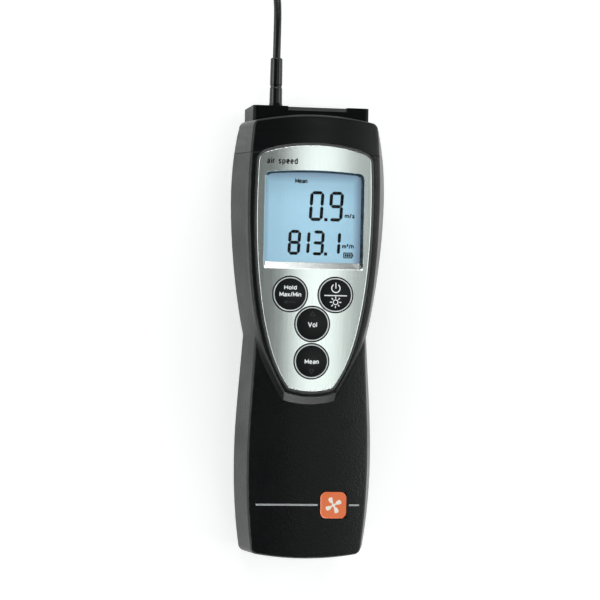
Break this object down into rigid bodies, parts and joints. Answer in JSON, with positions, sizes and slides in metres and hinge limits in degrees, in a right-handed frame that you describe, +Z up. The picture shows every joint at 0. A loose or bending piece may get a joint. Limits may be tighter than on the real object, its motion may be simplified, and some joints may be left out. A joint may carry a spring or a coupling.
{
  "type": "vane anemometer",
  "caption": "Handheld vane anemometer: waisted black meter with a raised display head, silver face and round keys, a lead, and a telescopic probe with a small vane wheel.",
  "frame": {"origin": "on the rear face that the meter rests on, under the middle of the meter's length and width", "axes": "+Z up out of the display, +Y along the meter to the end where the lead comes out, +X to the right as the display is read"},
  "size_m": [0.0632, 0.538, 0.0396],
  "materials": {
    "shell_black": "fine spark-textured black ABS",
    "cap_black": "smoother satin black ABS",
    "plate_silver": "brushed along its length",
    "trim_gloss": "polished black",
    "clear_window": "clear acrylic",
    "lcd": "pale blue backlit display",
    "white_plastic": "moulded white",
    "circuit_board": "solder mask over glass fibre",
    "chip": "epoxy packages",
    "silicone": "grey silicone",
    "key_black": "polished domed black",
    "key_ring": "bright ring",
    "battery_case": "printed steel jacket",
    "foam": "closed-cell foam",
    "inner_black": "moulded black",
    "screw_steel": "zinc-plated",
    "badge_amber": "amber with a pale pictogram",
    "line_silver": "silver line",
    "label": "printed silver-grey label",
    "boot_rubber": "moulded strain relief",
    "lead_black": "satin cable jacket",
    "probe_plastic": "satin black",
    "grip_rubber": "ribbed soft grip",
    "tube_steel": "drawn stainless tube",
    "ferrule_metal": "plated collars",
    "vane_metal": "satin aluminium",
    "rotor_plastic": "thin moulded vanes",
    "jewel": "synthetic jewel",
    "pivot_steel": "polished pivot"
  },
  "bodies": {
    "meter": {"front_shell": "shell_black", "top_cap": "cap_black", "rear_shell": "shell_black", "end_block": "cap_black", "face_trim": "trim_gloss", "face_plate": "plate_silver", "display_window": "clear_window", "lcd_glass": "lcd", "lcd_frame": "white_plastic", "backlight_panel": "white_plastic", "main_pcb": "circuit_board", "microcontroller": "chip", "pcb_components": "chip", "lead_socket": "white_plastic", "keypad_mat": "silicone", "key_dome_hold": "silicone", "key_dome_power": "silicone", "key_dome_vol": "silicone", "key_dome_mean": "silicone", "battery_tray": "inner_black", "battery_9v": "battery_case", "battery_snap": "inner_black", "battery_leads": "lead_black", "case_screws": "screw_steel", "pcb_screws": "screw_steel", "badge": "badge_amber", "badge_line": "line_silver", "rear_label": "label", "cable_boot": "boot_rubber", "lead_inner": "lead_black", "lead_clamp": "inner_black", "cable_run": "lead_black", "cable_coil": "lead_black", "cable_tail": "lead_black", "coil_tie": "inner_black", "probe_boot": "boot_rubber", "probe_handle": "probe_plastic", "probe_grip": "grip_rubber", "probe_collar": "probe_plastic"},
    "key_hold": {"button_hold": "key_black", "key_ring_hold": "key_ring"},
    "key_power": {"button_power": "key_black", "key_ring_power": "key_ring"},
    "key_vol": {"button_vol": "key_black", "key_ring_vol": "key_ring"},
    "key_mean": {"button_mean": "key_black", "key_ring_mean": "key_ring"},
    "cover": {"battery_cover": "shell_black", "battery_pad": "foam"},
    "probe_tube_1": {"tube_1": "tube_steel", "ferrule_1": "ferrule_metal"},
    "probe_tube_2": {"tube_2": "tube_steel", "ferrule_2": "ferrule_metal"},
    "probe_tip": {"tube_3": "tube_steel", "vane_head": "vane_metal", "vane_guards": "vane_metal", "vane_bearings": "jewel"},
    "vane_wheel": {"vane_rotor": "rotor_plastic", "vane_shaft": "pivot_steel"}
  },
  "joints": [
    {"name": "press_hold", "type": "slide", "parent": "meter", "child": "key_hold", "axis": [0, 0, -1], "range_m": [0, 0.0008], "stiffness_N_per_m": 1500, "deforming": ["key_dome_hold"]},
    {"name": "press_power", "type": "slide", "parent": "meter", "child": "key_power", "axis": [0, 0, -1], "range_m": [0, 0.0008], "stiffness_N_per_m": 1500, "deforming": ["key_dome_power"]},
    {"name": "press_vol", "type": "slide", "parent": "meter", "child": "key_vol", "axis": [0, 0, -1], "range_m": [0, 0.0008], "stiffness_N_per_m": 1500, "deforming": ["key_dome_vol"]},
    {"name": "press_mean", "type": "slide", "parent": "meter", "child": "key_mean", "axis": [0, 0, -1], "range_m": [0, 0.0008], "stiffness_N_per_m": 1500, "deforming": ["key_dome_mean"]},
    {"name": "cover_slide", "type": "slide", "parent": "meter", "child": "cover", "axis": [0, -1, 0], "range_m": [0, 0.06]},
    {"name": "tube_1_slide", "type": "slide", "parent": "meter", "child": "probe_tube_1", "axis": [0, 1, 0], "range_m": [0, 0.13]},
    {"name": "tube_2_slide", "type": "slide", "parent": "probe_tube_1", "child": "probe_tube_2", "axis": [0, 1, 0], "range_m": [0, 0.13]},
    {"name": "tube_3_slide", "type": "slide", "parent": "probe_tube_2", "child": "probe_tip", "axis": [0, 1, 0], "range_m": [0, 0.13]},
    {"name": "vane_spin", "type": "hinge", "parent": "probe_tip", "child": "vane_wheel", "pos_m": [-0.014, 0.439, 0.0092], "axis": [0, 0, 1], "continuous": true}
  ]
}
